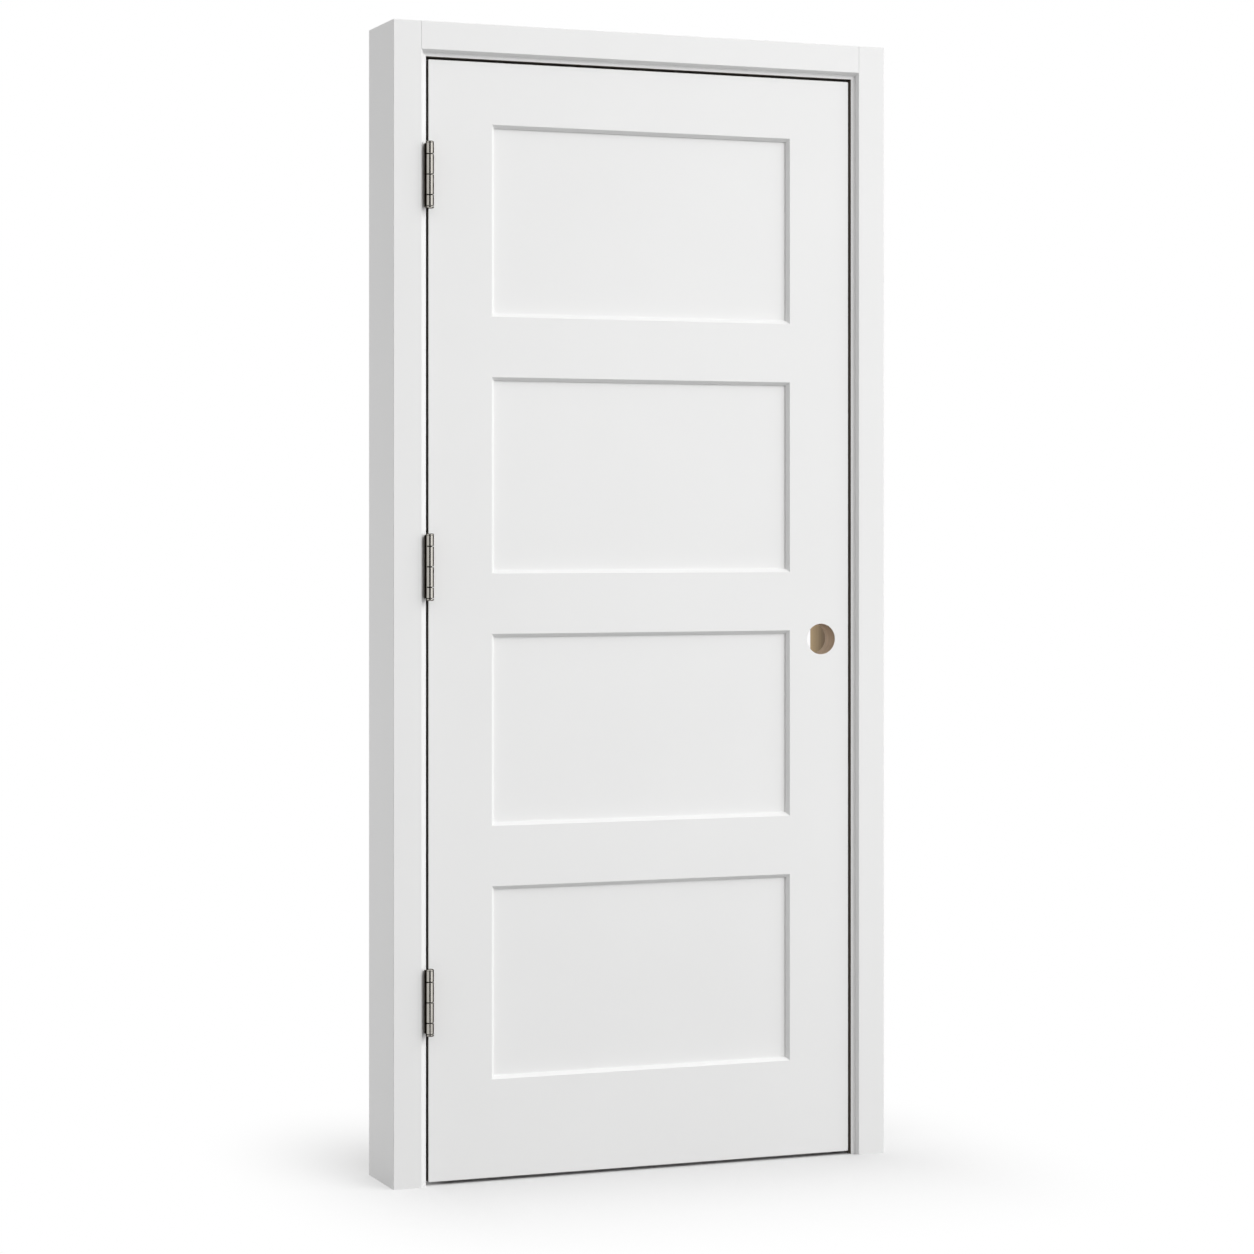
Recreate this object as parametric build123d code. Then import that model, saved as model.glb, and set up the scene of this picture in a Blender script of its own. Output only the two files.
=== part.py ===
"""A four-panel timber door hung on three butt hinges in a heavy moulded frame.

Frame of the model, in millimetres: x runs across the doorway from the outer face of the
hinge jamb, y runs through the wall with 0 in the middle of the frame's depth and the
hinge barrels on the -y side, and z runs up from the floor.
"""

import os

from build123d import *

# Door leaf
leaf_width = 838.0
leaf_height = 2032.0
leaf_thickness = 44.0
leaf_recess = 12.0
lock_edge_bevel = 2.4
arris = 1.0

# Running gaps round the leaf
side_gap = 5.0
top_gap = 5.0
floor_gap = 6.0
stop_gap = 5.0

# Stiles, rails and panels, measured on the face to the outer edge of the sticking
stile_width = 121.5
top_rail_width = 113.0
cross_rail_width = 110.0
bottom_rail_width = 179.0
top_panel_opening = 350.0
upper_panel_opening = 358.0
lower_panel_opening = 350.0

# Sticking round each panel opening, and the groove behind it that holds the panel
sticking_width = 6.0
sticking_depth = 6.0
panel_recess = 9.0
groove_depth = 10.0
panel_play = 1.0

# Frame members, and the bevel, step and flat hollow on their inner front edge
frame_depth = 150.0
jamb_thickness = 65.0
head_thickness = 63.0
bevel_width = 4.5
bevel_depth = 5.0
step_depth = 2.2
upper_hollow_width = 3.5
upper_hollow_depth = 2.4
lower_hollow_width = 4.0
lower_hollow_depth = 1.2
frame_arris = 1.2
head_joint = 0.4

# Planted door stops, running from behind the leaf to the back of the frame
stop_thickness = 22.0
stop_arris = 2.0

# Butt hinges: heights are those of the hinge centres on the leaf
hinge_height = 114.0
hinge_thickness = 3.0
hinge_backset = 6.0
hinge_corner_radius = 6.0
hinge_seat_play = 0.2
top_hinge_from_top = 210.0
middle_hinge_from_bottom = 1114.0
bottom_hinge_from_bottom = 328.0
barrel_diameter = 15.0
barrel_projection = 4.0
pin_diameter = 8.0
pin_clearance = 0.05
end_knuckle_length = 20.0
knuckle_gap = 1.2
knuckle_clearance = 0.5
knuckle_arris = 0.6
tip_height = 3.2
tip_arris = 1.4

# Lock bore through the lock stile
lock_bore_diameter = 58.0
lock_backset = 57.0
lock_height = 974.0
cut_overrun = 5.0

# Places that follow from the sizes above
frame_width = leaf_width + 2.0 * (side_gap + jamb_thickness)
under_head = floor_gap + leaf_height + top_gap
frame_height = under_head + head_thickness
front = -frame_depth / 2.0
back = frame_depth / 2.0
moulding_width = bevel_width + upper_hollow_width + lower_hollow_width
face_width = jamb_thickness - moulding_width
leaf_left = jamb_thickness + side_gap
leaf_right = leaf_left + leaf_width
leaf_front = front + leaf_recess
leaf_back = leaf_front + leaf_thickness
leaf_middle = (leaf_front + leaf_back) / 2.0
leaf_bottom = floor_gap
leaf_top = leaf_bottom + leaf_height
lip = stile_width + sticking_width
groove_floor = lip - groove_depth
pin_x = jamb_thickness + side_gap / 2.0
pin_y = front - barrel_projection
barrel_radius = barrel_diameter / 2.0
pin_radius = pin_diameter / 2.0
hinge_back = leaf_back - hinge_backset
strike_face_x = frame_width - jamb_thickness

hinge_heights = {
    "top_hinge": leaf_top - top_hinge_from_top,
    "middle_hinge": leaf_bottom + middle_hinge_from_bottom,
    "bottom_hinge": leaf_bottom + bottom_hinge_from_bottom,
}


def block(x_span, y_span, z_span):
    """A square-edged block between two places along each axis."""
    size = [span[1] - span[0] for span in (x_span, y_span, z_span)]
    centre = [(span[0] + span[1]) / 2.0 for span in (x_span, y_span, z_span)]
    return Pos(*centre) * Box(*size)


def run_up(outline, bottom, top):
    """A vertical member: an (x, y) outline drawn up from one height to another."""
    section = make_face(Polyline(*outline, close=True))
    return Pos(0, 0, bottom) * extrude(section, amount=top - bottom)


def run_across(outline, left, right):
    """A horizontal member: a (y, z) outline drawn across from one side to the other."""
    section = make_face(Polyline(*outline, close=True))
    return Plane.YZ.offset(left) * extrude(section, amount=right - left)


def rod_up(radius, bottom, top):
    """A round rod on the hinge axis."""
    middle = (bottom + top) / 2.0
    return Pos(pin_x, pin_y, middle) * Cylinder(radius, top - bottom)


def frame_section(thickness):
    """The section of a frame member, as (inward from outer face, back from front face)."""
    step = thickness - upper_hollow_width - lower_hollow_width
    step_foot = bevel_depth + step_depth
    hollow_foot = step_foot + upper_hollow_depth
    return [
        (0.0, 0.0),
        (thickness - moulding_width, 0.0),
        (step, bevel_depth),
        (step, step_foot),
        (thickness - lower_hollow_width, hollow_foot),
        (thickness, hollow_foot + lower_hollow_depth),
        (thickness, frame_depth),
        (0.0, frame_depth),
    ]


def sticking(face_edge):
    """The bevelled and grooved inner edge of a stile or rail, as (inward, back) points."""
    lip_edge = face_edge + sticking_width
    floor_edge = lip_edge - groove_depth
    near_half = [
        (face_edge, 0.0),
        (lip_edge, sticking_depth),
        (lip_edge, panel_recess),
        (floor_edge, panel_recess),
    ]
    far_half = [(inward, leaf_thickness - deep) for inward, deep in reversed(near_half)]
    return near_half + far_half


def outer_edge_section(face_edge):
    """The section of a member on the leaf's outer edge: plain outside, grooved inside."""
    return [(0.0, 0.0)] + sticking(face_edge) + [(0.0, leaf_thickness)]


def cross_section(width):
    """The section of a cross rail, grooved on both edges, about its own middle."""
    upper = sticking(width / 2.0)
    lower = [(-inward, deep) for inward, deep in reversed(upper)]
    return upper + lower


def frame_blank():
    """The outside of the whole frame, with its edges eased and its feet left square."""
    blank = block((0.0, frame_width), (front, back), (0.0, frame_height))
    feet = blank.edges().group_by(Axis.Z)[0]
    eased = [edge for edge in blank.edges() if edge not in feet]
    return chamfer(eased, frame_arris)


def leaf_blank():
    """The outside of the whole leaf, its lock edge bevelled to pass the strike jamb."""
    outline = [
        (leaf_left, leaf_front),
        (leaf_right, leaf_front),
        (leaf_right - lock_edge_bevel, leaf_back),
        (leaf_left, leaf_back),
    ]
    blank = run_up(outline, leaf_bottom, leaf_top)
    return chamfer(blank.edges(), arris)


def hinge_seat(face_x, outward, seat_front, height):
    """The shallow mortise for one hinge leaf, open at the front, cut into the face at face_x."""
    half = hinge_height / 2.0 + hinge_seat_play
    depth_span = sorted((face_x, face_x - outward * hinge_thickness))
    seat = block(depth_span, (seat_front, hinge_back + hinge_seat_play), (height - half, height + half))
    corners = seat.edges().filter_by(Axis.X).group_by(Axis.Y)[-1]
    return fillet(corners, hinge_corner_radius)


def knuckle_spans(height):
    """The heights of the four knuckles of a hinge from the top down, gaps taken off."""
    top = height + hinge_height / 2.0
    bottom = height - hinge_height / 2.0
    joints = [top, top - end_knuckle_length, height, bottom + end_knuckle_length, bottom]
    spans = []
    for upper, lower in zip(joints, joints[1:]):
        upper_gap = 0.0 if upper == top else knuckle_gap / 2.0
        lower_gap = 0.0 if lower == bottom else knuckle_gap / 2.0
        spans.append((lower + lower_gap, upper - upper_gap))
    return spans


def hinge_leaf(face_x, outward, height, first_knuckle):
    """One leaf of a hinge: a plate flush with the face at face_x and every second knuckle."""
    half = hinge_height / 2.0
    depth_span = sorted((face_x, face_x - outward * hinge_thickness))
    plate = block(depth_span, (pin_y, hinge_back), (height - half, height + half))
    corners = plate.edges().filter_by(Axis.X).group_by(Axis.Y)[-1]
    leaf = fillet(corners, hinge_corner_radius)
    spans = knuckle_spans(height)
    for bottom, top in spans[1 - first_knuckle::2]:
        leaf -= rod_up(barrel_radius + knuckle_clearance, bottom - knuckle_gap, top + knuckle_gap)
    for bottom, top in spans[first_knuckle::2]:
        knuckle = rod_up(barrel_radius, bottom, top)
        leaf += chamfer(knuckle.edges().filter_by(GeomType.CIRCLE), knuckle_arris)
    return leaf - rod_up(pin_radius + pin_clearance, height - hinge_height, height + hinge_height)


def hinge_pin(height):
    """A hinge pin with a button tip at each end, seated on the upper knuckle."""
    top = height + hinge_height / 2.0
    bottom = height - hinge_height / 2.0 - knuckle_gap
    pin = rod_up(pin_radius, bottom, top)
    for tip_bottom, outer_end in ((top, -1), (bottom - tip_height, 0)):
        tip = rod_up(barrel_radius, tip_bottom, tip_bottom + tip_height)
        rim = tip.edges().filter_by(GeomType.CIRCLE).sort_by(Axis.Z)[outer_end]
        pin += chamfer(rim, tip_arris)
    return pin


def make_frame():
    """The two jambs, the head housed between them, and the planted stops."""
    blank = frame_blank()
    section = frame_section(jamb_thickness)
    left = [(inward, front + deep) for inward, deep in section]
    right = [(frame_width - inward, front + deep) for inward, deep in section]
    above = [(front + deep, frame_height - inward) for inward, deep in frame_section(head_thickness)]
    housing = run_across(above, face_width, frame_width - face_width)
    head = run_across(above, face_width + head_joint, frame_width - face_width - head_joint) & blank
    hinge_jamb = (run_up(left, 0.0, frame_height) & blank) - housing
    strike_jamb = (run_up(right, 0.0, frame_height) & blank) - housing
    for height in hinge_heights.values():
        hinge_jamb -= hinge_seat(jamb_thickness, 1, front - cut_overrun, height)

    stop_span = (leaf_back + stop_gap, back)
    side_height = under_head - stop_thickness
    hinge_stop = block((jamb_thickness, jamb_thickness + stop_thickness), stop_span, (0.0, side_height))
    strike_stop = block((strike_face_x - stop_thickness, strike_face_x), stop_span, (0.0, side_height))
    head_stop = block((jamb_thickness, strike_face_x), stop_span, (side_height, under_head))
    return {
        "hinge_jamb": hinge_jamb,
        "strike_jamb": strike_jamb,
        "head_jamb": head,
        "hinge_side_stop": ease(hinge_stop, Axis.Z, Axis.X, -1),
        "strike_side_stop": ease(strike_stop, Axis.Z, Axis.X, 0),
        "head_stop": ease(head_stop, Axis.X, Axis.Z, 0),
    }


def ease(stop, along, across, side):
    """Take the sharp corners off the free face of a stop."""
    corners = stop.edges().filter_by(along).group_by(across)[side]
    return chamfer(corners, stop_arris)


def lock_bore():
    """The round bore through the lock stile."""
    through = leaf_thickness + 2.0 * cut_overrun
    bore = Rot(90, 0, 0) * Cylinder(lock_bore_diameter / 2.0, through)
    return Pos(leaf_right - lock_backset, leaf_middle, leaf_bottom + lock_height) * bore


def make_leaf():
    """The stiles, the rails coped and tenoned between them, and the panels in their grooves."""
    blank = leaf_blank()
    edge_section = outer_edge_section(stile_width)
    left = [(leaf_left + inward, leaf_front + deep) for inward, deep in edge_section]
    right = [(leaf_right - inward, leaf_front + deep) for inward, deep in edge_section]
    hinge_stile = run_up(left, leaf_bottom, leaf_top) & blank
    lock_stile = run_up(right, leaf_bottom, leaf_top) & blank

    def rail(outline):
        """A rail drawn out to the groove floors and cut to fit both stiles."""
        bar = run_across(outline, leaf_left + groove_floor, leaf_right - groove_floor)
        return (bar & blank) - hinge_stile - lock_stile

    top_section = outer_edge_section(top_rail_width)
    bottom_section = outer_edge_section(bottom_rail_width)
    pieces = {
        "top_rail": rail([(leaf_front + deep, leaf_top - inward) for inward, deep in top_section]),
        "bottom_rail": rail([(leaf_front + deep, leaf_bottom + inward) for inward, deep in bottom_section]),
    }

    # Openings from the top down: three are given, and the bottom one takes what is left.
    panel_tops = [leaf_top - top_rail_width]
    panel_bottoms = []
    rails_below = ("upper_cross_rail", "middle_cross_rail", "lower_cross_rail")
    openings = (top_panel_opening, upper_panel_opening, lower_panel_opening)
    for name, opening in zip(rails_below, openings):
        panel_bottoms.append(panel_tops[-1] - opening)
        middle = panel_bottoms[-1] - cross_rail_width / 2.0
        section = cross_section(cross_rail_width)
        pieces[name] = rail([(leaf_front + deep, middle + inward) for inward, deep in section])
        panel_tops.append(panel_bottoms[-1] - cross_rail_width)
    panel_bottoms.append(leaf_bottom + bottom_rail_width)

    tongue = groove_depth - panel_play - sticking_width
    across = (leaf_left + stile_width - tongue, leaf_right - stile_width + tongue)
    through = (leaf_front + panel_recess, leaf_back - panel_recess)
    names = ("top_panel", "upper_panel", "lower_panel", "bottom_panel")
    for name, top, bottom in zip(names, panel_tops, panel_bottoms):
        pieces[name] = block(across, through, (bottom - tongue, top + tongue))

    for height in hinge_heights.values():
        hinge_stile -= hinge_seat(leaf_left, -1, leaf_front - cut_overrun, height)
    pieces["hinge_stile"] = hinge_stile
    pieces["lock_stile"] = lock_stile - lock_bore()
    return pieces


def make_hinges():
    """Three butt hinges, each with a frame leaf, a door leaf and a pin."""
    pieces = {}
    for name, height in hinge_heights.items():
        pieces[f"{name}_frame_leaf"] = hinge_leaf(jamb_thickness, 1, height, 0)
        pieces[f"{name}_door_leaf"] = hinge_leaf(leaf_left, -1, height, 1)
        pieces[f"{name}_pin"] = hinge_pin(height)
    return pieces


os.makedirs("parts", exist_ok=True)
for node, shape in {**make_frame(), **make_leaf(), **make_hinges()}.items():
    export_step(shape, f"parts/{node}.step")
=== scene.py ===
"""Looks of a four-panel door hung in a moulded timber frame.

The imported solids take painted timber, bare timber and satin nickel finishes. The hinge
screws are modelled here, and a plain studio with its camera stands round the door.
All sizes are in metres, in the frame of the solids, where no other unit is named.
"""

from __future__ import annotations

import logging
import math
from dataclasses import dataclass, field
from enum import Enum

import bpy
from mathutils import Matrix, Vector


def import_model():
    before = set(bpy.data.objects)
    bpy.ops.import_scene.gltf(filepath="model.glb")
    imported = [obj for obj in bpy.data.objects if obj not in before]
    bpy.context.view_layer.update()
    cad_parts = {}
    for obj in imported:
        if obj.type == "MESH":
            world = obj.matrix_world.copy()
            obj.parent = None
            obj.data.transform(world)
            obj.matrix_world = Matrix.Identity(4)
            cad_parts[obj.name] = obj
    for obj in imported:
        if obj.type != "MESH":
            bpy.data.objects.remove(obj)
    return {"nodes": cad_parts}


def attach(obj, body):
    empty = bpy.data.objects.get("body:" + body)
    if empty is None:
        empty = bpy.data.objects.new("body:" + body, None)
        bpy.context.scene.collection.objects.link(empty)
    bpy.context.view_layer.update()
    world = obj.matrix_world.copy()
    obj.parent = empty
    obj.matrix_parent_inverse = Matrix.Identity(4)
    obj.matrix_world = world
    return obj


Pair = tuple[float, float]
Triple = tuple[float, float, float]
Colour = tuple[float, float, float, float]
Source = bpy.types.NodeSocket | float | Triple | Colour

LOG = logging.getLogger("door")
HINGES = ("top_hinge", "middle_hinge", "bottom_hinge")
JAMB_FACE = 0.065
LEAF_EDGE = 0.070

WHITE: Colour = (1.0, 1.0, 1.0, 1.0)
BLACK: Colour = (0.0, 0.0, 0.0, 1.0)
UNIT: Pair = (0.0, 1.0)
QUARTER_TURN = math.pi / 2.0
RELIEF_STRENGTH = 0.5

# Least cosine between a face's normal and the way it has to look, and one that every face passes.
SQUARE_ON = 0.9
ANY_WAY = -2.0
# A box that clears the door set on all sides, and how far a region reaches past a flat face.
CLEAR_LOW: Triple = (-0.01, -0.08, -0.01)
CLEAR_HIGH: Triple = (1.0, 0.08, 2.12)
MARGIN = 0.001


class Grain(Enum):
    """Which way the timber of a member runs, as pattern repeats per metre along each axis."""

    UPRIGHT = (120.0, 120.0, 5.0)
    LEVEL = (5.0, 120.0, 120.0)


class Graph:
    """Places nodes in one node tree and joins them."""

    def __init__(self, tree: bpy.types.NodeTree) -> None:
        """Keep the tree that nodes are placed in."""
        self.tree = tree

    def node(self, kind: str, **settings: object) -> bpy.types.Node:
        """Add a node.

        Args:
            kind: The node's type name.
            settings: Properties of the node to set.

        Returns:
            The new node.
        """
        node = self.tree.nodes.new(kind)
        for name, value in settings.items():
            setattr(node, name, value)
        return node

    def feed(self, socket: bpy.types.NodeSocket, source: Source) -> None:
        """Join a source to an input socket, or set the socket's own value.

        Args:
            socket: The input socket.
            source: Another node's output, or a constant.
        """
        if isinstance(source, bpy.types.NodeSocket):
            self.tree.links.new(source, socket)
        else:
            socket.default_value = source

    def math(self, operation: str, *sources: Source) -> bpy.types.NodeSocket:
        """Place a Math node.

        Args:
            operation: The operation's name.
            sources: Its inputs in order.

        Returns:
            The node's value.
        """
        node = self.node("ShaderNodeMath", operation=operation)
        for socket, source in zip(node.inputs, sources):
            self.feed(socket, source)
        return node.outputs[0]

    def vector(self, operation: str, *sources: Source) -> bpy.types.NodeSocket:
        """Place a Vector Math node.

        Args:
            operation: The operation's name.
            sources: Its inputs in order.

        Returns:
            The node's vector, or its value for a dot product or a length.
        """
        node = self.node("ShaderNodeVectorMath", operation=operation)
        for socket, source in zip(node.inputs, sources):
            self.feed(socket, source)
        return node.outputs["Value" if operation in ("DOT_PRODUCT", "LENGTH") else "Vector"]

    def noise(
        self, position: Source, scale: float, detail: float, roughness: float = 0.5
    ) -> bpy.types.NodeSocket:
        """Place a Noise Texture node.

        Args:
            position: The coordinates it reads.
            scale: Repeats per unit of those coordinates.
            detail: Number of finer layers.
            roughness: Strength of the finer layers.

        Returns:
            The noise value, about 0 to 1.
        """
        node = self.node("ShaderNodeTexNoise")
        self.feed(node.inputs["Vector"], position)
        node.inputs["Scale"].default_value = scale
        node.inputs["Detail"].default_value = detail
        node.inputs["Roughness"].default_value = roughness
        return node.outputs["Fac"]

    def spread(self, value: Source, reach: Pair, onto: Pair = UNIT) -> bpy.types.NodeSocket:
        """Place a clamped Map Range node.

        Args:
            value: The value to map.
            reach: The two inputs that give the ends of the output.
            onto: The output at each of them.

        Returns:
            The mapped value.
        """
        node = self.node("ShaderNodeMapRange")
        for socket, source in zip(node.inputs, (value, *reach, *onto)):
            self.feed(socket, source)
        return node.outputs["Result"]

    def tint(self, factor: Source, first: Source, second: Source) -> bpy.types.NodeSocket:
        """Blend two colours.

        Args:
            factor: 0 for the first colour, 1 for the second.
            first: The first colour.
            second: The second colour.

        Returns:
            The blended colour.
        """
        node = self.node("ShaderNodeMix", data_type="RGBA")
        for index, source in ((0, factor), (6, first), (7, second)):
            self.feed(node.inputs[index], source)
        return node.outputs[2]

    def level(self, factor: Source, first: Source, second: Source) -> bpy.types.NodeSocket:
        """Blend two values.

        Args:
            factor: 0 for the first value, 1 for the second.
            first: The first value.
            second: The second value.

        Returns:
            The blended value.
        """
        node = self.node("ShaderNodeMix", data_type="FLOAT")
        for index, source in ((0, factor), (2, first), (3, second)):
            self.feed(node.inputs[index], source)
        return node.outputs[0]


class Effect:
    """A shader node group that is built once and placed in each material that needs it."""

    name: str = ""
    inputs: dict[str, str] = {}
    outputs: dict[str, str] = {}

    def draw(self, graph: Graph, given: bpy.types.NodeOutputs) -> dict[str, Source]:
        """Lay out the group's inside.

        Args:
            graph: The inside of the group.
            given: The outputs of the Group Input node.

        Returns:
            A source for each named output.
        """
        raise NotImplementedError

    def tree(self) -> bpy.types.NodeTree:
        """Build the group on first use.

        Returns:
            The node group.
        """
        if self.name in bpy.data.node_groups:
            return bpy.data.node_groups[self.name]
        tree = bpy.data.node_groups.new(self.name, "ShaderNodeTree")
        for name, kind in self.inputs.items():
            tree.interface.new_socket(name=name, in_out="INPUT", socket_type=kind)
        for name, kind in self.outputs.items():
            tree.interface.new_socket(name=name, in_out="OUTPUT", socket_type=kind)
        graph = Graph(tree)
        given = graph.node("NodeGroupInput").outputs
        result = graph.node("NodeGroupOutput").inputs
        for name, source in self.draw(graph, given).items():
            graph.feed(result[name], source)
        return tree

    def place(self, graph: Graph, **sources: Source) -> bpy.types.NodeOutputs:
        """Place the group in a material.

        Args:
            graph: The material's nodes.
            sources: A source for each input, named as the input is in lower case.

        Returns:
            The group node's outputs.
        """
        node = graph.node("ShaderNodeGroup", node_tree=self.tree())
        for name, source in sources.items():
            graph.feed(node.inputs[name.capitalize()], source)
        return node.outputs


class RegionMask(Effect):
    """1 on the faces inside a box that look a given way, 0 elsewhere."""

    name = "region_mask"
    inputs = {
        "Position": "NodeSocketVector",
        "Normal": "NodeSocketVector",
        "Low": "NodeSocketVector",
        "High": "NodeSocketVector",
        "Facing": "NodeSocketVector",
        "Least": "NodeSocketFloat",
    }
    outputs = {"Mask": "NodeSocketFloat"}

    def draw(self, graph: Graph, given: bpy.types.NodeOutputs) -> dict[str, Source]:
        """Compare the place with the box and the face with the facing."""
        above = graph.vector("SUBTRACT", given["Position"], given["Low"])
        below = graph.vector("SUBTRACT", given["High"], given["Position"])
        room = graph.node("ShaderNodeSeparateXYZ")
        graph.feed(room.inputs[0], graph.vector("MINIMUM", above, below))
        least = graph.math("MINIMUM", room.outputs["Y"], room.outputs["Z"])
        least = graph.math("MINIMUM", room.outputs["X"], least)
        inside = graph.math("GREATER_THAN", least, 0.0)
        turned = graph.vector("DOT_PRODUCT", given["Normal"], given["Facing"])
        facing = graph.math("GREATER_THAN", turned, given["Least"])
        return {"Mask": graph.math("MULTIPLY", inside, facing)}


class TimberGrain(Effect):
    """Growth bands and pores of planed timber that run along a member."""

    name = "timber_grain"
    inputs = {"Position": "NodeSocketVector", "Run": "NodeSocketVector"}
    outputs = {"Tone": "NodeSocketFloat", "Height": "NodeSocketFloat"}
    band_share: float = 0.7
    pore_share: float = 0.3

    def draw(self, graph: Graph, given: bpy.types.NodeOutputs) -> dict[str, Source]:
        """Stretch noise along the grain for the bands, and finer noise for the pores."""
        drawn = graph.vector("MULTIPLY", given["Position"], given["Run"])
        bands = graph.noise(drawn, scale=1.0, detail=3.0, roughness=0.45)
        pores = graph.noise(drawn, scale=7.0, detail=4.0, roughness=0.6)
        band_tone = graph.spread(bands, (0.3, 0.7), (0.0, self.band_share))
        pore_tone = graph.spread(pores, (0.35, 0.65), (0.0, self.pore_share))
        return {"Tone": graph.math("ADD", band_tone, pore_tone), "Height": pores}


class PaintSkin(Effect):
    """The fine stipple of sprayed paint with faint grain under it, and slow shifts of tone."""

    name = "paint_skin"
    inputs = {"Position": "NodeSocketVector", "Run": "NodeSocketVector"}
    outputs = {"Tone": "NodeSocketFloat", "Gloss": "NodeSocketFloat", "Height": "NodeSocketFloat"}
    stipple_share: float = 0.6
    grain_share: float = 0.4

    def draw(self, graph: Graph, given: bpy.types.NodeOutputs) -> dict[str, Source]:
        """Combine slow noise, stipple and stretched noise."""
        slow = graph.noise(given["Position"], scale=4.0, detail=2.0)
        stipple = graph.noise(given["Position"], scale=420.0, detail=2.0)
        drawn = graph.vector("MULTIPLY", given["Position"], given["Run"])
        grain = graph.noise(drawn, scale=3.0, detail=2.0)
        dimples = graph.math("MULTIPLY", stipple, self.stipple_share)
        height = graph.math("ADD", dimples, graph.math("MULTIPLY", grain, self.grain_share))
        return {"Tone": graph.spread(slow, (0.3, 0.7)), "Gloss": stipple, "Height": height}


class PlateLines(Effect):
    """The hair-fine turning lines of satin plated metal."""

    name = "plate_lines"
    inputs = {"Position": "NodeSocketVector"}
    outputs = {"Tone": "NodeSocketFloat", "Height": "NodeSocketFloat"}
    squeeze: Triple = (60.0, 60.0, 2600.0)
    line_share: float = 0.6
    cloud_share: float = 0.4

    def draw(self, graph: Graph, given: bpy.types.NodeOutputs) -> dict[str, Source]:
        """Squeeze noise into level lines and add a slow cloud of tone."""
        squeezed = graph.vector("MULTIPLY", given["Position"], self.squeeze)
        lines = graph.noise(squeezed, scale=1.0, detail=3.0)
        cloud = graph.noise(given["Position"], scale=160.0, detail=2.0)
        line_tone = graph.math("MULTIPLY", lines, self.line_share)
        tone = graph.math("ADD", line_tone, graph.math("MULTIPLY", cloud, self.cloud_share))
        return {"Tone": graph.spread(tone, (0.35, 0.65)), "Height": lines}


@dataclass(frozen=True)
class Region:
    """A box round some faces of a solid, and the way they look where that matters."""

    low: Triple
    high: Triple
    facing: Triple = (0.0, 0.0, 1.0)
    least: float = ANY_WAY

    @classmethod
    def upright(cls, across: float, side: float, top: float) -> Region:
        """Box in the upright faces in one plane across the doorway.

        Args:
            across: Where the plane is.
            side: 1.0 if the faces look along +x, -1.0 if they look along -x.
            top: Where the box ends.

        Returns:
            The region.
        """
        low = (across - MARGIN, CLEAR_LOW[1], CLEAR_LOW[2])
        high = (across + MARGIN, CLEAR_HIGH[1], top)
        return cls(low, high, (side, 0.0, 0.0), SQUARE_ON)

    @classmethod
    def underside(cls, height: float, top: float) -> Region:
        """Box in the faces at one height that look down.

        Args:
            height: Where the faces are.
            top: Where the box ends.

        Returns:
            The region.
        """
        low = (CLEAR_LOW[0], CLEAR_LOW[1], height - MARGIN)
        high = (CLEAR_HIGH[0], CLEAR_HIGH[1], top)
        return cls(low, high, (0.0, 0.0, -1.0), SQUARE_ON)


def join_regions(graph: Graph, place: bpy.types.NodeOutputs, regions: tuple[Region, ...]) -> Source:
    """Join the masks of several regions.

    Args:
        graph: The material's nodes.
        place: The outputs of the Texture Coordinate node.
        regions: The regions.

    Returns:
        1 inside any of the regions, 0 elsewhere.
    """
    mask: Source = 0.0
    for region in regions:
        found = RegionMask().place(
            graph,
            position=place["Object"],
            normal=place["Normal"],
            low=region.low,
            high=region.high,
            facing=region.facing,
            least=region.least,
        )
        mask = graph.math("MAXIMUM", mask, found["Mask"])
    return mask


@dataclass(frozen=True)
class Timber:
    """Colours and roughness of one kind of timber surface."""

    pale: Colour
    dark: Colour
    roughness: float


class Wood(Enum):
    """The timber surfaces of the door that carry no paint."""

    CUT = Timber((0.58, 0.45, 0.33, 1.0), (0.46, 0.35, 0.25, 1.0), 0.75)
    PLANED = Timber((0.70, 0.52, 0.30, 1.0), (0.58, 0.42, 0.24, 1.0), 0.70)
    # Planed timber darkened as painted shade, for the stops towards the leaf.
    SOILED = Timber((0.22, 0.145, 0.078, 1.0), (0.15, 0.098, 0.052, 1.0), 0.70)
    # Bare timber darkened as painted shade, for the leaf's edges in the gaps round it.
    SEALED = Timber((0.10, 0.085, 0.07, 1.0), (0.06, 0.05, 0.042, 1.0), 0.60)
    # Bare timber darkened as painted shade, less deeply, for the frame's rebates in the gaps.
    RUBBED = Timber((0.20, 0.17, 0.14, 1.0), (0.13, 0.108, 0.09, 1.0), 0.65)


@dataclass(frozen=True)
class Finish:
    """A procedural material that is built once."""

    name: str

    def material(self) -> bpy.types.Material:
        """Build the material on first use.

        Returns:
            The material.
        """
        if self.name in bpy.data.materials:
            return bpy.data.materials[self.name]
        material = bpy.data.materials.new(self.name)
        material.use_nodes = True
        material.node_tree.nodes.clear()
        graph = Graph(material.node_tree)
        shader = graph.node("ShaderNodeBsdfPrincipled")
        output = graph.node("ShaderNodeOutputMaterial")
        graph.feed(output.inputs["Surface"], shader.outputs[0])
        self.dress(graph, shader.inputs)
        return material

    def dress(self, graph: Graph, sockets: bpy.types.NodeInputs) -> None:
        """Join the finish to the shader.

        Args:
            graph: The material's nodes.
            sockets: The shader's inputs.
        """
        raise NotImplementedError

    def relief(
        self, graph: Graph, sockets: bpy.types.NodeInputs, height: Source, depth: float
    ) -> None:
        """Give the surface a fine relief.

        Args:
            graph: The material's nodes.
            sockets: The shader's inputs.
            height: The height of the relief, 0 to 1.
            depth: Its depth.
        """
        bump = graph.node("ShaderNodeBump")
        bump.inputs["Strength"].default_value = RELIEF_STRENGTH
        bump.inputs["Distance"].default_value = depth
        graph.feed(bump.inputs["Height"], height)
        graph.feed(sockets["Normal"], bump.outputs[0])


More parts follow.
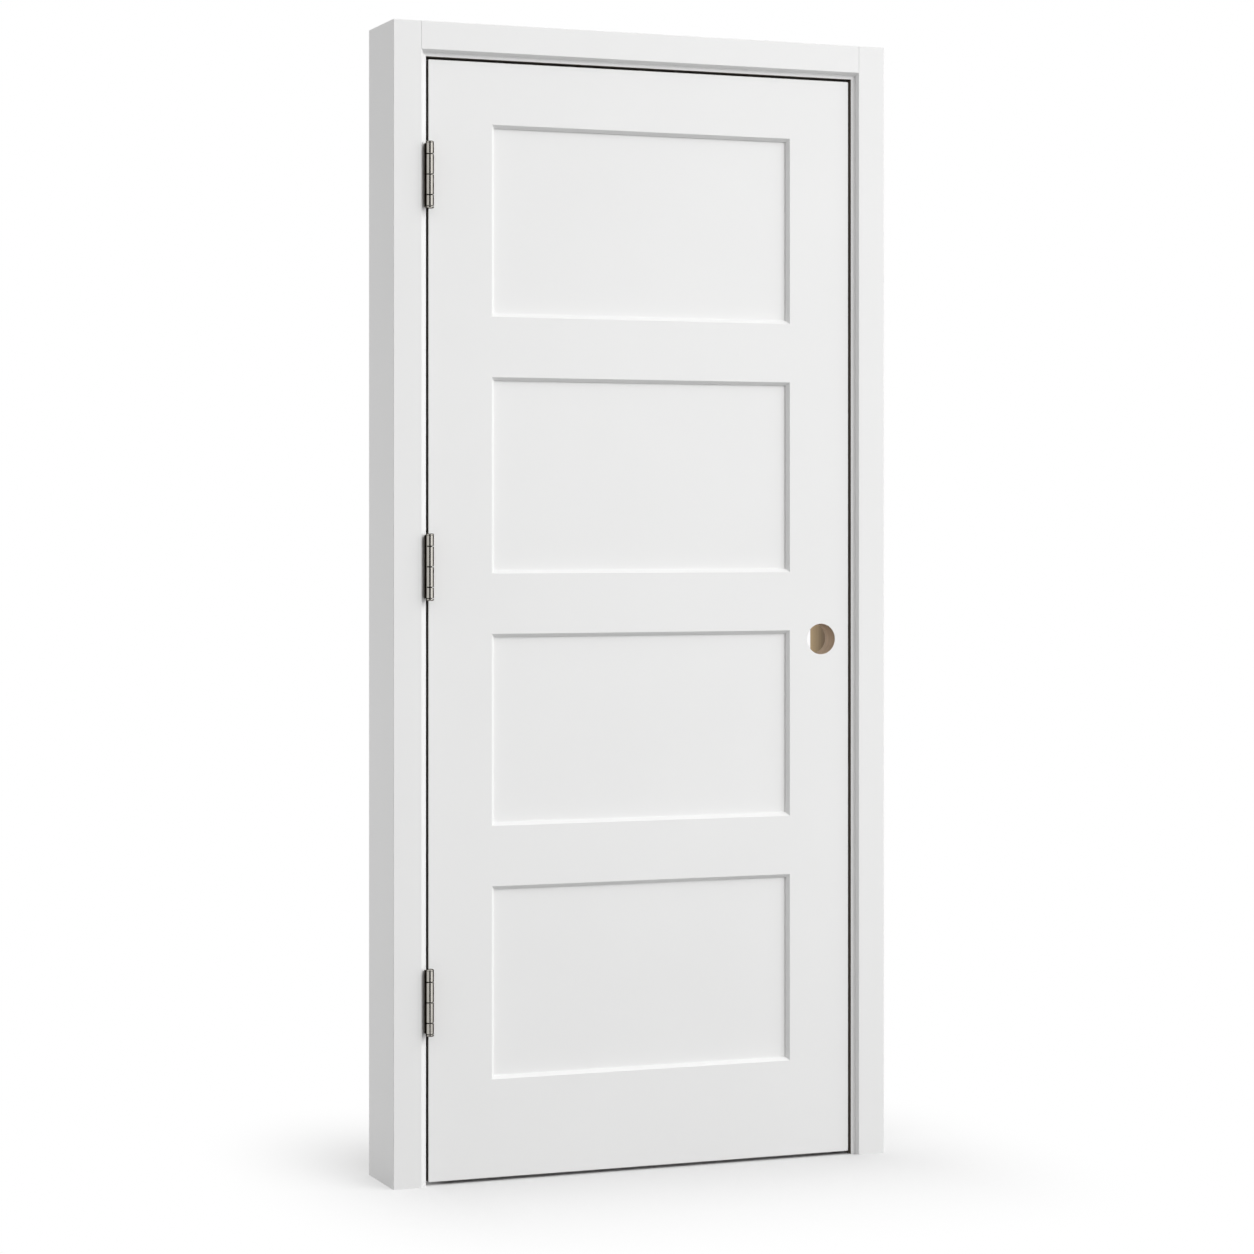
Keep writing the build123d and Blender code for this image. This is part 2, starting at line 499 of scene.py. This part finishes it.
@dataclass(frozen=True)
class PaintedTimber(Finish):
    """Satin white paint on the show faces, bare wood darkened as painted shade on the edges in the
    gaps, and bare wood in the cuts.
    """

    grain: Grain
    unpainted: tuple[Region, ...] = ()
    cut: tuple[Region, ...] = ()
    # The unpainted faces take bare timber darkened as painted shade, so the gaps read dark.
    edge: Timber = Wood.SEALED.value
    paint: Colour = (0.80, 0.80, 0.797, 1.0)
    shade: Colour = (0.788, 0.788, 0.785, 1.0)
    polish: Pair = (0.38, 0.46)
    depth: float = 0.00012

    def dress(self, graph: Graph, sockets: bpy.types.NodeInputs) -> None:
        """Paint everything but the unpainted edges and the cuts."""
        place = graph.node("ShaderNodeTexCoord").outputs
        skin = PaintSkin().place(graph, position=place["Object"], run=self.grain.value)
        colour = graph.tint(skin["Tone"], self.shade, self.paint)
        roughness = graph.spread(skin["Gloss"], (0.3, 0.7), self.polish)
        height = skin["Height"]
        wood = TimberGrain().place(graph, position=place["Object"], run=self.grain.value)
        # The unpainted edges get bare timber darkened as painted shade; the cuts get the cut wood.
        for regions, timber in ((self.unpainted, self.edge), (self.cut, Wood.CUT.value)):
            if regions:
                mask = join_regions(graph, place, regions)
                bare = graph.tint(wood["Tone"], timber.pale, timber.dark)
                colour = graph.tint(mask, colour, bare)
                roughness = graph.level(mask, roughness, timber.roughness)
                height = graph.level(mask, height, wood["Height"])
        graph.feed(sockets["Base Color"], colour)
        graph.feed(sockets["Roughness"], roughness)
        self.relief(graph, sockets, height, self.depth)


@dataclass(frozen=True)
class BareTimber(Finish):
    """Planed timber with no paint, with painted shade darkening it towards the leaf."""

    grain: Grain
    timber: Timber = Wood.PLANED.value
    leaf_corner_shade: Timber = Wood.SOILED.value
    leaf_corner_shade_reach: Pair = (0.010, 0.072)
    smoother: float = 0.05
    rougher: float = 0.07
    depth: float = 0.0002

    def dress(self, graph: Graph, sockets: bpy.types.NodeInputs) -> None:
        """Colour the grain, paint shade on it towards the leaf and give it a slight relief."""
        place = graph.node("ShaderNodeTexCoord").outputs
        wood = TimberGrain().place(graph, position=place["Object"], run=self.grain.value)
        through = graph.node("ShaderNodeSeparateXYZ")
        graph.feed(through.inputs[0], place["Object"])
        # Painted shade: the timber darkens towards the leaf, where the corner lies in shade.
        leaf_corner_shade_mask = graph.spread(through.outputs["Y"], self.leaf_corner_shade_reach, (1.0, 0.0))
        unshaded_wood = graph.tint(wood["Tone"], self.timber.pale, self.timber.dark)
        shaded_wood = graph.tint(wood["Tone"], self.leaf_corner_shade.pale, self.leaf_corner_shade.dark)
        polish = (self.timber.roughness - self.smoother, self.timber.roughness + self.rougher)
        graph.feed(sockets["Base Color"], graph.tint(leaf_corner_shade_mask, unshaded_wood, shaded_wood))
        graph.feed(sockets["Roughness"], graph.spread(wood["Tone"], UNIT, polish))
        self.relief(graph, sockets, wood["Height"], self.depth)


@dataclass(frozen=True)
class SatinNickel(Finish):
    """Satin nickel plate with fine turning lines, with painted shade at the rims and, on a pin, along
    the shaft in the gaps between its knuckles.
    """

    knuckle_gap_shade_regions: tuple[Region, ...] = ()
    pale: Colour = (0.47, 0.45, 0.415, 1.0)
    dark: Colour = (0.42, 0.40, 0.365, 1.0)
    painted_rim_shade: Colour = (0.09, 0.083, 0.073, 1.0)
    painted_rim_shade_reach: Pair = (0.24, 0.36)
    glance: Colour = (0.25, 0.24, 0.22, 1.0)
    knuckle_gap_shade: Colour = (0.03, 0.028, 0.025, 1.0)
    polish: Pair = (0.16, 0.12)
    depth: float = 0.000002

    def dress(self, graph: Graph, sockets: bpy.types.NodeInputs) -> None:
        """Vary the tone and polish along the lines, and darken the colour as painted shade where the
        metal turns from the viewer.
        """
        place = graph.node("ShaderNodeTexCoord").outputs
        lines = PlateLines().place(graph, position=place["Object"])
        # Painted shade: the colour falls to a dark rim where the surface turns away from the viewer.
        turned = graph.node("ShaderNodeLayerWeight")
        turned.inputs["Blend"].default_value = 0.5
        edge = graph.spread(turned.outputs["Facing"], self.painted_rim_shade_reach)
        colour = graph.tint(edge, graph.tint(lines["Tone"], self.dark, self.pale), self.painted_rim_shade)
        # Painted shade: the shaft turns near black where it shows in the gaps between knuckles.
        if self.knuckle_gap_shade_regions:
            colour = graph.tint(join_regions(graph, place, self.knuckle_gap_shade_regions), colour, self.knuckle_gap_shade)
        sockets["Metallic"].default_value = 1.0
        sockets["Specular Tint"].default_value = self.glance
        graph.feed(sockets["Base Color"], colour)
        graph.feed(sockets["Roughness"], graph.spread(lines["Tone"], UNIT, self.polish))
        self.relief(graph, sockets, lines["Height"], self.depth)


def dress_nodes(nodes: dict[str, bpy.types.Object], names: tuple[str, ...], finish: Finish) -> None:
    """Give solids a finish.

    Args:
        nodes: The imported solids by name.
        names: The solids to dress.
        finish: Their finish.
    """
    for name in names:
        solid = nodes[name]
        if solid.material_slots:
            solid.material_slots[0].material = finish.material()
        else:
            solid.data.materials.append(finish.material())
        LOG.info("%s: %s", name, finish.name)


@dataclass(frozen=True)
class HingeSeats:
    """The recesses for the hinge plates in the jamb and in the leaf."""

    heights: tuple[float, ...] = (1.828, 1.120, 0.334)
    half_height: float = 0.0573
    back: float = -0.0245
    shallowest: float = 0.0002
    deepest: float = 0.0033

    def regions(self, face: float, inward: float, front: float) -> tuple[Region, ...]:
        """Box in the recesses of one member.

        Args:
            face: Where the face is that they are cut into.
            inward: 1.0 if they go in along +x, -1.0 if they go in along -x.
            front: Where they start.

        Returns:
            A region for each hinge.
        """
        low, high = sorted((face + inward * self.shallowest, face + inward * self.deepest))
        return tuple(
            Region(
                (low, front, height - self.half_height),
                (high, self.back, height + self.half_height),
            )
            for height in self.heights
        )


@dataclass
class DoorFrame:
    """The jambs, head and stops, painted on the faces that show when the door is shut."""

    nodes: dict[str, bpy.types.Object]
    jamb_face: float = JAMB_FACE
    strike_face: float = 0.913
    head_face: float = 2.043
    head_overlap: float = 0.004
    foot_overlap: float = 0.0005
    seats: HingeSeats = HingeSeats()

    def unpainted_faces(self) -> tuple[Region, ...]:
        """List the rebate faces, which the shut leaf hides and which are darkened as painted shade in
        the gaps.

        Returns:
            The inner faces of both jambs and of the head.
        """
        top = self.head_face + self.head_overlap
        return (
            Region.upright(self.jamb_face, 1.0, top),
            Region.upright(self.strike_face, -1.0, top),
            Region.underside(self.head_face, top),
        )

    def cut_faces(self) -> tuple[Region, ...]:
        """List the faces cut after painting.

        Returns:
            The hinge seats and the feet.
        """
        seats = self.seats.regions(self.jamb_face, -1.0, CLEAR_LOW[1])
        return seats + (Region.underside(0.0, self.foot_overlap),)

    def dress(self) -> None:
        """Paint the jambs and head, and leave the stops bare."""
        # The rebates get bare timber darkened as painted shade in the gaps round the leaf.
        unpainted, rebate_shade_timber = self.unpainted_faces(), Wood.RUBBED.value
        jamb = PaintedTimber("painted_jamb", Grain.UPRIGHT, unpainted, self.cut_faces(), rebate_shade_timber)
        dress_nodes(self.nodes, ("hinge_jamb", "strike_jamb"), jamb)
        head = PaintedTimber("painted_head", Grain.LEVEL, unpainted, edge=rebate_shade_timber)
        dress_nodes(self.nodes, ("head_jamb",), head)
        stops = ("hinge_side_stop", "strike_side_stop")
        dress_nodes(self.nodes, stops, BareTimber("bare_side_stop", Grain.UPRIGHT))
        dress_nodes(self.nodes, ("head_stop",), BareTimber("bare_head_stop", Grain.LEVEL))


@dataclass
class DoorLeaf:
    """The stiles, rails and panels, painted but for two edges, the hinge seats and the lock bore."""

    nodes: dict[str, bpy.types.Object]
    left: float = LEAF_EDGE
    bottom: float = 0.006
    bottom_overlap: float = 0.0005
    front: float = -0.063
    back: float = -0.019
    skin: float = 0.0001
    lock_place: Pair = (0.851, 0.980)
    lock_reach: float = 0.030
    seats: HingeSeats = HingeSeats()

    def unpainted_faces(self) -> tuple[Region, ...]:
        """List the edges left bare and darkened as painted shade in the gaps round the leaf.

        Returns:
            The hinge edge and the bottom.
        """
        return (
            Region.upright(self.left, -1.0, CLEAR_HIGH[2]),
            Region.underside(self.bottom, self.bottom + self.bottom_overlap),
        )

    def cut_faces(self) -> tuple[Region, ...]:
        """List the faces cut after painting.

        Returns:
            The hinge seats and the lock bore.
        """
        front, back = self.front + self.skin, self.back - self.skin
        across, high = self.lock_place
        reach = self.lock_reach
        bore = Region((across - reach, front, high - reach), (across + reach, back, high + reach))
        return self.seats.regions(self.left, 1.0, front) + (bore,)

    def dress(self) -> None:
        """Paint the stiles and panels with upright grain, and the rails with level grain."""
        # The leaf's hinge edge and bottom get bare timber darkened as painted shade in the gaps.
        unpainted = self.unpainted_faces()
        stile = PaintedTimber("painted_stile", Grain.UPRIGHT, unpainted, self.cut_faces())
        dress_nodes(self.nodes, ("hinge_stile", "lock_stile"), stile)
        cross_rails = ("upper_cross_rail", "middle_cross_rail", "lower_cross_rail")
        rails = ("top_rail", *cross_rails, "bottom_rail")
        dress_nodes(self.nodes, rails, PaintedTimber("painted_rail", Grain.LEVEL, unpainted))
        panels = ("top_panel", "upper_panel", "lower_panel", "bottom_panel")
        dress_nodes(self.nodes, panels, PaintedTimber("painted_panel", Grain.UPRIGHT))


def edit_level_faces(solid: bpy.types.Object, side: float) -> None:
    """Open a mesh for editing with its top or its bottom faces selected.

    Args:
        solid: The active mesh object.
        side: 1.0 for the faces that look up, -1.0 for those that look down.
    """
    bpy.ops.object.mode_set(mode="EDIT")
    bpy.ops.mesh.select_mode(type="FACE")
    bpy.ops.mesh.select_all(action="DESELECT")
    bpy.ops.object.mode_set(mode="OBJECT")
    for face in solid.data.polygons:
        face.select = side * face.normal.z > SQUARE_ON
    bpy.ops.object.mode_set(mode="EDIT")


def join_objects(parts: list[bpy.types.Object]) -> bpy.types.Object:
    """Join mesh objects.

    Args:
        parts: The objects.

    Returns:
        The first of them, which now holds them all and is the only one selected.
    """
    bpy.ops.object.select_all(action="DESELECT")
    for part in parts:
        part.select_set(True)
    bpy.context.view_layer.objects.active = parts[0]
    bpy.ops.object.join()
    return parts[0]


@dataclass
class ScrewPattern:
    """Countersunk screws of one hinge plate, in two staggered rows.

    The head is drawn in millimetres, because a cut in so small a shape fails in metres.
    The places of the screws are in metres, and their turns in radians.
    """

    head_radius: float = 4.6
    head_depth: float = 1.2
    head_sides: int = 36
    proud: float = 0.3
    bevel_steps: int = 2
    slot_length: float = 5.2
    slot_width: float = 1.1
    slot_depth: float = 0.9
    slot_taper: float = 0.6
    smooth_below: float = math.radians(35.0)
    to_metres: float = 0.001
    rises: tuple[float, ...] = (0.043, 0.0145, -0.0145, -0.043)
    rows: tuple[float, ...] = (-0.0525, -0.0365, -0.0365, -0.0525)
    turns: tuple[float, ...] = (0.3, 1.1, -0.4, 0.8)

    def bar(self, turn: float) -> bpy.types.Object:
        """Model one bar of the cross, narrower at its foot.

        Args:
            turn: The way it lies, in radians.

        Returns:
            The bar, half of it under the origin.
        """
        bpy.ops.mesh.primitive_cube_add(size=1.0, location=(0.0, 0.0, 0.0), rotation=(0.0, 0.0, turn))
        bar = bpy.context.object
        bar.scale = (self.slot_length, self.slot_width, 2.0 * self.slot_depth)
        bpy.ops.object.transform_apply(location=False, rotation=True, scale=True)
        edit_level_faces(bar, -1.0)
        bpy.ops.transform.resize(value=(self.slot_taper, self.slot_taper, 1.0))
        bpy.ops.object.mode_set(mode="OBJECT")
        return bar

    def cutter(self) -> bpy.types.Object:
        """Model the cross that is sunk into a screw head.

        Returns:
            Two tapered bars across each other.
        """
        return join_objects([self.bar(0.0), self.bar(QUARTER_TURN)])

    def head(self) -> bpy.types.Object:
        """Model one screw head that looks up, its seat at the height of the plate.

        Returns:
            The head at the origin.
        """
        bpy.ops.object.select_all(action="DESELECT")
        bpy.ops.mesh.primitive_cylinder_add(
            vertices=self.head_sides,
            radius=self.head_radius,
            depth=self.head_depth,
            location=(0.0, 0.0, self.proud - self.head_depth / 2.0),
        )
        head = bpy.context.object
        bpy.ops.object.transform_apply(location=True, rotation=True, scale=True)
        edit_level_faces(head, 1.0)
        bpy.ops.mesh.bevel(offset=self.proud, segments=self.bevel_steps, affect="EDGES")
        bpy.ops.object.mode_set(mode="OBJECT")
        cutter = self.cutter()
        cutter.location.z = self.proud
        sink = head.modifiers.new("cross", "BOOLEAN")
        sink.operation = "DIFFERENCE"
        sink.object = cutter
        sink.use_self = True
        bpy.ops.object.select_all(action="DESELECT")
        head.select_set(True)
        bpy.context.view_layer.objects.active = head
        bpy.ops.object.modifier_apply(modifier=sink.name)
        bpy.data.objects.remove(cutter)
        head.scale = (self.to_metres,) * 3
        bpy.ops.object.transform_apply(location=False, rotation=False, scale=True)
        bpy.ops.object.shade_smooth_by_angle(angle=self.smooth_below)
        return head

    def fit(self, name: str, face_x: float, outward: int, height: float) -> bpy.types.Object:
        """Set the screws of one hinge plate in place as one piece.

        Args:
            name: The piece's name.
            face_x: Where the plate's face is.
            outward: 1 if the face looks along +x, -1 if it looks along -x.
            height: Height of the hinge's centre.

        Returns:
            The screws, their place in their mesh.
        """
        pattern = self.head()
        heads = []
        for rise, row, turn in zip(self.rises, self.rows, self.turns):
            copy = pattern.copy()
            copy.data = pattern.data.copy()
            bpy.context.scene.collection.objects.link(copy)
            copy.rotation_euler = (turn * outward, outward * QUARTER_TURN, 0.0)
            copy.location = (face_x, row, height + rise)
            heads.append(copy)
        bpy.data.objects.remove(pattern)
        piece = join_objects(heads)
        bpy.ops.object.transform_apply(location=True, rotation=True, scale=True)
        piece.name = name
        return piece


@dataclass
class HingeSet:
    """Three butt hinges: the plates, knuckles and pins of the solids, and their screws."""

    nodes: dict[str, bpy.types.Object]
    jamb_face: float = JAMB_FACE
    leaf_face: float = LEAF_EDGE
    axis: Pair = (0.0675, -0.079)
    knuckle_reach: float = 0.008
    shaft: Pair = (-0.058, 0.0569)
    heights: tuple[float, ...] = HingeSeats.heights
    screws: ScrewPattern = field(default_factory=ScrewPattern)
    plate: SatinNickel = SatinNickel("satin_nickel")
    screw_plate: SatinNickel = SatinNickel("screw_nickel", polish=(0.28, 0.18))

    def pin_finish(self) -> SatinNickel:
        """Make the finish of the pins, darkened as painted shade between their tips, in the knuckle
        gaps.

        Returns:
            The finish.
        """
        across, through = self.axis
        reach = self.knuckle_reach
        foot, neck = self.shaft
        shafts = tuple(
            Region(
                (across - reach, through - reach, height + foot),
                (across + reach, through + reach, height + neck),
            )
            for height in self.heights
        )
        return SatinNickel("pin_nickel", shafts)

    def dress(self) -> None:
        """Plate the hinges and screw them to the jamb and the leaf."""
        pin = self.pin_finish()
        for hinge, height in zip(HINGES, self.heights):
            dress_nodes(self.nodes, (f"{hinge}_frame_leaf", f"{hinge}_door_leaf"), self.plate)
            dress_nodes(self.nodes, (f"{hinge}_pin",), pin)
            for body, face, outward in (("frame", self.jamb_face, 1), ("leaf", self.leaf_face, -1)):
                piece = self.screws.fit(f"{hinge}_{body}_screws", face, outward, height)
                piece.data.materials.clear()
                piece.data.materials.append(self.screw_plate.material())
                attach(piece, body)
                LOG.info("%s rides on %s", piece.name, body)


@dataclass(frozen=True)
class Patch:
    """A rectangle on the floor and the soft border round it."""

    middle: Triple
    half: Triple
    border: Triple

    def outside(self, graph: Graph) -> bpy.types.NodeSocket:
        """Tell the rectangle from the floor beyond its border.

        Args:
            graph: The floor's nodes.

        Returns:
            0 in the rectangle, rising across the border to 1.
        """
        place = graph.node("ShaderNodeTexCoord").outputs["Object"]
        offset = graph.vector("ABSOLUTE", graph.vector("SUBTRACT", place, self.middle))
        past_edge = graph.vector("SUBTRACT", offset, self.half)
        beyond = graph.vector("MAXIMUM", past_edge, (0.0, 0.0, 0.0))
        share = graph.vector("LENGTH", graph.vector("DIVIDE", beyond, self.border))
        rest = graph.spread(share, UNIT, (1.0, 0.0))
        return graph.math("SUBTRACT", 1.0, graph.math("MULTIPLY", rest, rest))


@dataclass(frozen=True)
class Card:
    """A card in front of the door that only polished surfaces mirror."""

    name: str
    size: Pair
    place: Triple
    turn: float
    glow: float
    tone: Colour = (0.01, 0.01, 0.01, 1.0)

    def stand(self) -> None:
        """Stand the card upright in its place."""
        bpy.ops.object.select_all(action="DESELECT")
        upright = (QUARTER_TURN, 0.0, self.turn)
        bpy.ops.mesh.primitive_plane_add(size=1.0, location=self.place, rotation=upright)
        card = bpy.context.object
        card.name = self.name
        card.scale = (self.size[0], self.size[1], 1.0)
        material = bpy.data.materials.new(self.name)
        material.use_nodes = True
        sockets = material.node_tree.nodes["Principled BSDF"].inputs
        sockets["Base Color"].default_value = self.tone
        sockets["Specular IOR Level"].default_value = 0.0
        sockets["Emission Color"].default_value = WHITE
        sockets["Emission Strength"].default_value = self.glow
        card.data.materials.append(material)
        card.visible_camera = False
        card.visible_diffuse = False
        card.visible_shadow = False
        card.visible_transmission = False


@dataclass(frozen=True)
class Lamp:
    """A large soft light that faces the door."""

    name: str
    way: Triple
    power: float
    size: float
    distance: float
    aim: Triple

    def hang(self) -> None:
        """Hang the light in its place, out of the picture."""
        light = bpy.data.lights.new(self.name, "AREA")
        light.shape = "SQUARE"
        light.size = self.size
        light.energy = self.power
        lamp = bpy.data.objects.new(self.name, light)
        way = Vector(self.way).normalized()
        lamp.location = Vector(self.aim) + way * self.distance
        lamp.rotation_euler = way.to_track_quat("Z", "Y").to_euler()
        lamp.visible_camera = False
        bpy.context.scene.collection.objects.link(lamp)


@dataclass
class Studio:
    """A white room with soft lights on three sides of the door, and the camera."""

    ambient: float = 0.62
    lamps: tuple[Lamp, ...] = (
        Lamp(
            "key",
            way=(0.64, -0.65, 0.45),
            power=4900.0,
            size=23.0,
            distance=22.0,
            aim=(0.489, -0.07, 1.05),
        ),
        Lamp(
            "side_light",
            way=(-0.88, 0.45, 0.0),
            power=29.0,
            size=2.2,
            distance=3.0,
            aim=(0.0, 0.0, 0.45),
        ),
        Lamp(
            "back_light",
            way=(0.58, 0.80, 0.15),
            power=800.0,
            size=16.0,
            distance=15.0,
            aim=(0.489, 0.07, 1.05),
        ),
    )
    floor_size: float = 120.0
    floor_tone: Colour = (0.765, 0.765, 0.765, 1.0)
    floor_bounce: Colour = (0.28, 0.28, 0.28, 1.0)
    floor_roughness: float = 0.9
    shaded: Patch = Patch(
        middle=(0.530, 0.0, 0.0), half=(0.420, 0.075, 0.0), border=(0.41, 0.77, 1.0)
    )
    cards: tuple[Card, ...] = (
        Card("dark_card", size=(1.34, 2.3), place=(-0.31, -1.58, 1.17), turn=0.0, glow=0.0),
        Card("bright_card", size=(2.4, 2.3), place=(1.35, -1.61, 1.17), turn=0.70, glow=1.5),
    )
    eye: Triple = (-1.7865, -5.7709, 1.1855)
    turn: float = -0.374362
    lens_mm: float = 95.093
    sensor_mm: float = 36.0
    rise: float = -0.076964
    farthest: float = 300.0

    def seen_rays(self, graph: Graph) -> bpy.types.NodeSocket:
        """Tell the rays that see the background from those that light the door.

        Args:
            graph: The nodes of the room or the floor.

        Returns:
            1 for camera, glossy and transmission rays, 0 for the rest.
        """
        path = graph.node("ShaderNodeLightPath").outputs
        seen = graph.math("MAXIMUM", path["Is Camera Ray"], path["Is Glossy Ray"])
        return graph.math("MAXIMUM", seen, path["Is Transmission Ray"])

    def room(self) -> None:
        """Light the room evenly and show it white."""
        world = bpy.data.worlds.new("white_room")
        bpy.context.scene.world = world
        world.use_nodes = True
        world.node_tree.nodes.clear()
        graph = Graph(world.node_tree)
        light = graph.node("ShaderNodeBackground")
        output = graph.node("ShaderNodeOutputWorld")
        light.inputs["Color"].default_value = WHITE
        strength = graph.level(self.seen_rays(graph), self.ambient, 1.0)
        graph.feed(light.inputs["Strength"], strength)
        graph.feed(output.inputs["Surface"], light.outputs[0])

    def floor(self) -> None:
        """Lay a pale floor that takes the shadow near the door and is white beyond."""
        bpy.ops.object.select_all(action="DESELECT")
        bpy.ops.mesh.primitive_plane_add(size=self.floor_size, location=(0.0, 0.0, 0.0))
        floor = bpy.context.object
        floor.name = "studio_floor"
        material = bpy.data.materials.new("studio_floor")
        material.use_nodes = True
        graph = Graph(material.node_tree)
        sockets = material.node_tree.nodes["Principled BSDF"].inputs
        seen = self.seen_rays(graph)
        white = graph.math("MULTIPLY", seen, self.shaded.outside(graph))
        near_tone = graph.tint(seen, self.floor_bounce, self.floor_tone)
        graph.feed(sockets["Base Color"], graph.tint(white, near_tone, BLACK))
        sockets["Roughness"].default_value = self.floor_roughness
        sockets["Specular IOR Level"].default_value = 0.0
        sockets["Emission Color"].default_value = WHITE
        graph.feed(sockets["Emission Strength"], white)
        floor.data.materials.append(material)

    def camera(self) -> None:
        """Stand the camera level in front of the hinge side."""
        lens = bpy.data.cameras.new("camera")
        lens.sensor_width = self.sensor_mm
        lens.lens = self.lens_mm
        lens.shift_y = self.rise
        lens.clip_end = self.farthest
        camera = bpy.data.objects.new("camera", lens)
        camera.location = self.eye
        camera.rotation_euler = (QUARTER_TURN, 0.0, self.turn)
        bpy.context.scene.collection.objects.link(camera)
        bpy.context.scene.camera = camera

    def build(self) -> None:
        """Set up the whole studio."""
        bpy.context.scene.view_settings.view_transform = "Standard"
        self.camera()
        self.room()
        self.floor()
        for lamp in self.lamps:
            lamp.hang()
        for card in self.cards:
            card.stand()


def main() -> None:
    """Load the solids, dress each sub-assembly and set up the studio."""
    logging.basicConfig(level=logging.INFO, format="%(name)s: %(message)s")
    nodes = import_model()["nodes"]
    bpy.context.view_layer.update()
    Studio().build()
    DoorFrame(nodes).dress()
    DoorLeaf(nodes).dress()
    HingeSet(nodes).dress()


if __name__ == "__main__":
    main()
